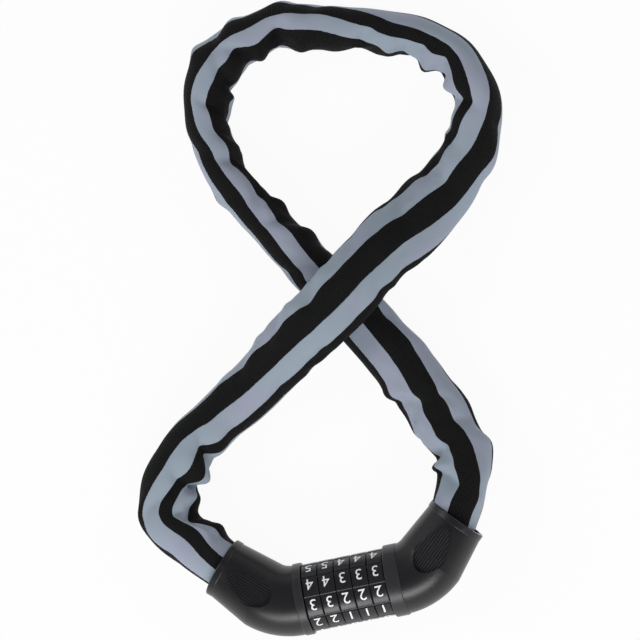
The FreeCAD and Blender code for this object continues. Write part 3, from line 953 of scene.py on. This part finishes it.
def webbing_material():
    material, tree = new_material("woven_webbing")
    uv = tree.add("ShaderNodeUVMap", uv_map="weave").outputs["UV"]
    parts = tree.add("ShaderNodeSeparateXYZ", {"Vector": uv}).outputs
    round_tube, along = parts["X"], parts["Y"]
    place = tree.add("ShaderNodeTexCoord").outputs["Object"]
    wander = tree.noise(uv, 9.0, 2.0)
    wander = tree.math("MULTIPLY_ADD", wander, 0.5, -0.25)
    folded = tree.math("PINGPONG", round_tube, 0.5)
    from_band = tree.math("MULTIPLY_ADD", folded, pattern / mm, wander)
    from_tape = tree.math("ABSOLUTE", tree.math("SUBTRACT", from_band, tape_middle))
    # Painted crease shade: along this stretch each tape is drawn a fifth narrower and black covers its edges.
    creased = tree.ramp(along, crease_shade_from, crease_shade_from + crease_ease)
    creased = tree.math("MULTIPLY", creased, tree.ramp(along, crease_shade_to, crease_shade_to + crease_ease, 1.0, 0.0))
    from_tape = tree.math("MULTIPLY", from_tape, tree.math("MULTIPLY_ADD", creased, 0.25, 1.0))
    tape = tree.ramp(from_tape, tape_half, tape_half + tape_edge, 1.0, 0.0)

    ribs = tree.math("MULTIPLY", along, pattern / mm / rib_pitch * 2 * math.pi)
    ribs = tree.math("MULTIPLY_ADD", tree.math("COSINE", ribs), 0.5, 0.5)
    ribs = tree.math("POWER", ribs, 0.6)
    threads = tree.math("MULTIPLY", round_tube, pattern / mm / thread_pitch * 2 * math.pi)
    threads = tree.math("MULTIPLY_ADD", tree.math("COSINE", threads), 0.5, 0.5)
    grain = tree.noise(place, 2600.0, 2.0)
    patches = tree.noise(place, 60.0, 3.0)
    drift = tree.noise(place, 34.0, 1.0)

    # The black is darker in the grooves between the ribs and lighter on them: painted shade, over the relief
    # that the bump gives.
    black = tree.blend_colour(ribs, (0.0015, 0.0015, 0.0017, 1), (0.0085, 0.0085, 0.0088, 1))
    black = tree.blend_colour(tree.ramp(patches, 0.35, 0.8, 0.0, 0.3), black, (0.012, 0.012, 0.0125, 1))
    silver = tree.blend_colour(tree.ramp(drift, 0.35, 0.65), (0.285, 0.345, 0.405, 1), (0.31, 0.335, 0.42, 1))
    silver = tree.blend_colour(tree.ramp(grain, 0.3, 0.7, 0.0, 0.16), silver, (0.25, 0.285, 0.345, 1))
    colour = tree.blend_colour(tape, black, silver)

    cloth_height = tree.math("ADD", tree.math("MULTIPLY", ribs, 0.30), tree.math("MULTIPLY", threads, 0.06))
    tape_height = tree.math("MULTIPLY_ADD", grain, 0.03, 0.30)
    mixed = tree.add("ShaderNodeMix", data_type="FLOAT")
    tree.feed(mixed, 0, tape)
    tree.feed(mixed, 2, cloth_height)
    tree.feed(mixed, 3, tape_height)
    surface = tree.bump(mixed.outputs[0], 1.0 * mm)
    rough = tree.add("ShaderNodeMapRange", {"Value": tape, "To Min": 0.78, "To Max": 0.5})

    cloth = tree.add("ShaderNodeBsdfPrincipled", {"Base Color": colour, "Normal": surface})
    tree.feed(cloth, "Roughness", rough.outputs["Result"])
    tree.feed(cloth, "Sheen Weight", 0.01)
    tree.feed(cloth, "Sheen Roughness", 0.5)
    tree.feed(cloth, "Specular IOR Level", 0.12)
    tree.finish(cloth.outputs[0])
    return material


webbing = webbing_material()
for piece in (long_sleeve, end_sleeve):
    piece.data.materials.append(webbing)

# %% [markdown]
# ## Moulded plastic
#
# The elbows, collars and dials are black plastic, but not the same black. The
# elbows come from a mould with a fine spark-worn surface, so their highlights
# are broad and soft; the dials are smoother and a shade darker. Noise at two
# sizes, a very fine one for the mould's grain and a broad one for handling,
# changes the roughness as well as the relief.

# %% Plastic materials
def moulded(name, colour, rough, grain_size, grain_depth):
    material, tree = new_material(name)
    place = tree.add("ShaderNodeTexCoord").outputs["Object"]
    grain = tree.noise(place, 1 / grain_size, 3.0, 0.6)
    handling = tree.noise(place, 45.0, 4.0, 0.6)
    worn = tree.ramp(tree.add("ShaderNodeNewGeometry").outputs["Pointiness"], 0.53, 0.62)
    shade = tree.ramp(handling, 0.3, 0.75, 0.0, 0.5)
    lighter = tuple(c * 1.7 for c in colour[:3]) + (1,)
    tone = tree.blend_colour(shade, colour, lighter)
    edge = tuple(c * 2.6 for c in colour[:3]) + (1,)
    tone = tree.blend_colour(tree.math("MULTIPLY", worn, 0.6), tone, edge)
    surface = tree.bump(grain, grain_depth)
    dull = tree.math("MULTIPLY_ADD", handling, 0.14, rough - 0.07)
    plastic = tree.add("ShaderNodeBsdfPrincipled", {"Base Color": tone, "Roughness": dull, "Normal": surface})
    tree.feed(plastic, "IOR", 1.46)
    tree.finish(plastic.outputs[0])
    return material


elbow_black = moulded("elbow_plastic", (0.0065, 0.0065, 0.0080, 1), 0.33, 0.35 * mm, 0.02 * mm)
collar_black = moulded("collar_plastic", (0.013, 0.013, 0.015, 1), 0.36, 0.5 * mm, 0.012 * mm)
dial_black = moulded("dial_plastic", (0.006, 0.006, 0.0078, 1), 0.30, 0.5 * mm, 0.010 * mm)

# %% [markdown]
# ## Metal inside
#
# The chain is zinc plated, the core and the bolt are bright turned steel, and
# the wheels on the core are cast. They are seen when the lock is open, and
# each metal differs in tint, in roughness and in the marks its making left.

# %% Metal materials
def metal(name, colour, rough, scale, stretch, depth):
    material, tree = new_material(name)
    place = tree.add("ShaderNodeTexCoord").outputs["Object"]
    drawn = tree.add("ShaderNodeMapping", {"Vector": place, "Scale": stretch}).outputs[0]
    marks = tree.noise(drawn, scale, 4.0, 0.6)
    bloom = tree.noise(place, 90.0, 4.0, 0.65)
    dark = tuple(c * 0.72 for c in colour[:3]) + (1,)
    tone = tree.blend_colour(tree.ramp(bloom, 0.35, 0.7), colour, dark)
    surface = tree.bump(marks, depth)
    dull = tree.math("MULTIPLY_ADD", bloom, 0.25, rough - 0.1)
    steel = tree.add("ShaderNodeBsdfPrincipled", {"Base Color": tone, "Roughness": dull, "Normal": surface})
    tree.feed(steel, "Metallic", 1.0)
    tree.finish(steel.outputs[0])
    return material


zinc = metal("zinc_plated_steel", (0.60, 0.61, 0.62, 1), 0.34, 500.0, (1, 1, 1), 0.02 * mm)
turned = metal("turned_steel", (0.56, 0.55, 0.53, 1), 0.26, 900.0, (6, 1, 1), 0.01 * mm)
cast = metal("cast_wheel_metal", (0.50, 0.50, 0.51, 1), 0.48, 700.0, (1, 1, 1), 0.03 * mm)
spring = metal("spring_steel", (0.52, 0.50, 0.47, 1), 0.22, 900.0, (8, 1, 1), 0.006 * mm)

finishes = {
    "housing_plastic": elbow_black,
    "collar_plastic": collar_black,
    "dial_plastic": dial_black,
    "woven_sleeve": webbing,
    "chain_steel": zinc,
    "lock_steel": turned,
    "wheel_metal": cast,
    "spring_steel": spring,
}
for entry in frame["record"]["subparts"]:
    mesh = nodes[entry["node"]].data
    mesh.materials.clear()
    mesh.materials.append(finishes[entry["material_slot"]])
end_chain.data.materials.clear()
end_chain.data.materials.append(zinc)
print("finishes:", len(finishes))

# %% [markdown]
# ## Numbers on the dials
#
# Each dial has ten numbers, printed in white and read from the far side. A
# number starts as flat text. It becomes a mesh, is cut across every
# millimetre, and is then wrapped round the dial: what was height in the text
# becomes an angle. Without the cuts its straight strokes would dip into the
# dial between their ends.

# %% Printed numbers
number_height = 5.7 * mm
dial_count = 5
numbers_on_dial = 10
print_lift = 0.06 * mm


def flat_number(digit):
    """One digit as a flat mesh, centred, number_height tall, as a list of points and faces."""
    text = bpy.data.curves.new("number", "FONT")
    text.body = str(digit)
    text.size = 1.0
    text.resolution_u = 6
    writing = bpy.data.objects.new("number", text)
    bpy.context.scene.collection.objects.link(writing)
    outline = bpy.data.meshes.new_from_object(writing.evaluated_get(bpy.context.evaluated_depsgraph_get()))
    bpy.data.objects.remove(writing)
    shape = bmesh.new()
    shape.from_mesh(outline)
    xs = [v.co.x for v in shape.verts]
    ys = [v.co.y for v in shape.verts]
    scale = number_height / (max(ys) - min(ys))
    centre = Vector(((max(xs) + min(xs)) / 2, (max(ys) + min(ys)) / 2, 0))
    for vert in shape.verts:
        vert.co = (vert.co - centre) * scale
    cuts = 8
    for n in range(1, cuts):
        level = (n / cuts - 0.5) * number_height
        geometry = shape.verts[:] + shape.edges[:] + shape.faces[:]
        bmesh.ops.bisect_plane(shape, geom=geometry, plane_co=(0, level, 0), plane_no=(0, 1, 0))
    points = [v.co.copy() for v in shape.verts]
    faces = [[v.index for v in f.verts] for f in shape.faces]
    shape.free()
    bpy.data.meshes.remove(outline)
    return points, faces


digit_shapes = [flat_number(d) for d in range(numbers_on_dial)]


def printed_material():
    material, tree = new_material("white_print")
    place = tree.add("ShaderNodeTexCoord").outputs["Object"]
    wear = tree.noise(place, 700.0, 4.0, 0.7)
    rubbed = tree.ramp(wear, 0.55, 0.8, 0.0, 0.35)
    tone = tree.blend_colour(rubbed, (0.86, 0.87, 0.87, 1), (0.45, 0.45, 0.45, 1))
    ink = tree.add("ShaderNodeBsdfPrincipled", {"Base Color": tone, "Normal": tree.bump(wear, 0.01 * mm)})
    tree.feed(ink, "Roughness", 0.45)
    tree.finish(ink.outputs[0])
    return material


white_print = printed_material()
step_angle = 2 * math.pi / numbers_on_dial
# How far each dial is turned at rest, in numbers. The first two show one number further on.
left_dials_turn = -3.36
right_dials_turn = -2.36
for dial in range(1, dial_count + 1):
    low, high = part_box(f"dial_ring_{dial}")
    centre = (low + high) / 2
    radius = (high.z - low.z) / 2 + print_lift
    turned_by = left_dials_turn if dial <= 2 else right_dials_turn
    points, faces = [], []
    for digit in range(numbers_on_dial):
        shape_points, shape_faces = digit_shapes[digit]
        offset = len(points)
        for p in shape_points:
            a = (digit + turned_by) * step_angle - p.y / radius
            points.append(centre + Vector((-p.x, math.sin(a) * radius, math.cos(a) * radius)))
        faces += [[offset + index for index in face] for face in shape_faces]
    numbers = add_mesh(f"dial_numbers_{dial}", points, faces)
    numbers.data.materials.append(white_print)
    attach(numbers, f"dial_{dial}")
print("numbers:", dial_count * numbers_on_dial)

# %% [markdown]
# ## Finish
#
# The look of the picture is left plain, with no filmic curve.

# %% View
bpy.context.scene.view_settings.view_transform = "Standard"
